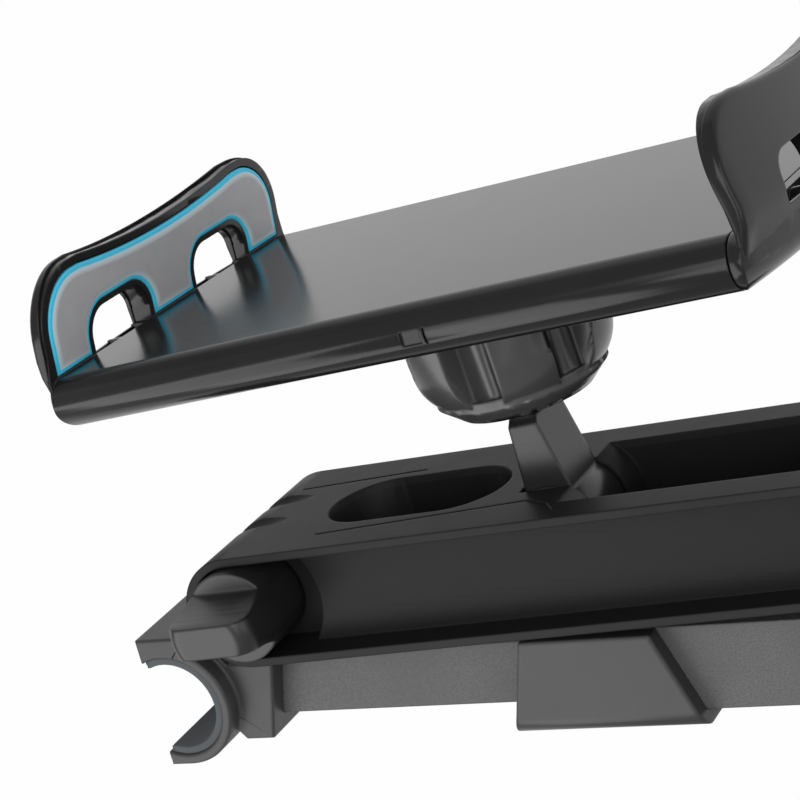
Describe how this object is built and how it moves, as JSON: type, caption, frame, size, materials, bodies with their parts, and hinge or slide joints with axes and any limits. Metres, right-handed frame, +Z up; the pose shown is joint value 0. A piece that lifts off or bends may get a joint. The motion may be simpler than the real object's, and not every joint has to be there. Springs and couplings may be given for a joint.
{
  "type": "headrest tablet mount",
  "caption": "Holder that presses between the posts of a car headrest, with a swinging arm, a ball joint and a sprung clamp for a tablet.",
  "frame": {"origin": "on the axis of the fixed headrest post, at the middle height of the saddle that grips it", "axes": "+Z up along the posts, -X from the fixed post to the sliding post, -Y towards the passenger who looks at the tablet"},
  "size_m": [0.1638, 0.1143, 0.0918],
  "materials": {
    "base_shell": "grained satin black moulding",
    "bar": "grained dark grey moulding",
    "bracket": "smooth dark grey moulding",
    "arm_shell": "fine grained satin black moulding",
    "knob_shell": "satin black moulding",
    "cradle_shell": "glossy black moulding",
    "inner_shell": "plain black moulding",
    "post_liner": "matt grey blue rubber",
    "jaw_pad": "matt grey rubber with a blue edge",
    "hardware": "zinc plated",
    "spring_wire": "drawn wire",
    "washer": "black fibre",
    "brass_insert": "turned",
    "nylon": "natural nylon"
  },
  "bodies": {
    "base": {"fixed_block": "base_shell", "fixed_pad": "post_liner", "inner_bar": "bar", "clamp_bolt": "hardware", "block_screws": "hardware", "base_spring": "spring_wire"},
    "slide_half": {"outer_tube": "bar", "tube_bracket": "bracket", "sliding_block": "base_shell", "sliding_pad": "post_liner", "tube_screws": "hardware"},
    "arm": {"arm_beam": "arm_shell", "swing_washers": "washer", "hinge_pin": "hardware", "pin_cap": "arm_shell"},
    "knob": {"clamp_knob": "knob_shell", "knob_insert": "brass_insert"},
    "link": {"link": "arm_shell", "ball_stud": "hardware", "hinge_washers": "washer"},
    "ball_shell": {"ball_liner": "nylon"},
    "ball_seat": {"pressure_cup": "inner_shell", "clamp_ring": "nylon"},
    "cradle": {"cradle_front": "cradle_shell", "cradle_back": "inner_shell", "back_screws": "hardware", "fixed_jaw_pad": "jaw_pad", "jaw_springs": "spring_wire"},
    "nut": {"lock_nut": "knob_shell"},
    "jaw": {"sliding_jaw": "cradle_shell", "sliding_tray": "inner_shell", "tray_screws": "hardware", "sliding_jaw_pad": "jaw_pad"}
  },
  "joints": [
    {"name": "base_stretch", "type": "slide", "parent": "base", "child": "slide_half", "axis": [1, 0, 0], "range_m": [0, 0.028], "stiffness_N_per_m": 250, "springref_m": -0.03, "deforming": ["base_spring"]},
    {"name": "arm_swing", "type": "hinge", "parent": "base", "child": "arm", "pos_m": [-0.0205, -0.0185, 0], "axis": [0, 0, 1], "range_deg": [0, 100]},
    {"name": "knob_turn", "type": "hinge", "parent": "arm", "child": "knob", "pos_m": [-0.0205, -0.0185, 0], "axis": [0, 0, 1], "range_deg": [0, 360]},
    {"name": "link_fold", "type": "hinge", "parent": "arm", "child": "link", "pos_m": [-0.08132, -0.02405, 0], "axis": [0, 0, -1], "range_deg": [0, 28]},
    {"name": "ball_tilt_side", "type": "hinge", "parent": "link", "child": "ball_shell", "pos_m": [-0.07835, -0.05491, 0], "axis": [0.0365, 0.003, 0.9993], "range_deg": [-12, 12]},
    {"name": "ball_tilt_nod", "type": "hinge", "parent": "ball_shell", "child": "ball_seat", "pos_m": [-0.07835, -0.05491, 0], "axis": [-0.9959, -0.0831, 0.0366], "range_deg": [-12, 12]},
    {"name": "ball_spin", "type": "hinge", "parent": "ball_seat", "child": "cradle", "pos_m": [-0.07835, -0.05491, 0], "axis": [0.0832, -0.9965, 0], "continuous": true},
    {"name": "lock_nut_turn", "type": "hinge", "parent": "cradle", "child": "nut", "pos_m": [-0.07835, -0.05491, 0], "axis": [0.0832, -0.9965, 0], "range_deg": [0, 90]},
    {"name": "jaw_slide", "type": "slide", "parent": "cradle", "child": "jaw", "axis": [-0.9959, -0.0831, 0.0366], "range_m": [0, 0.09], "stiffness_N_per_m": 60, "springref_m": -0.04, "deforming": ["jaw_springs"]}
  ]
}
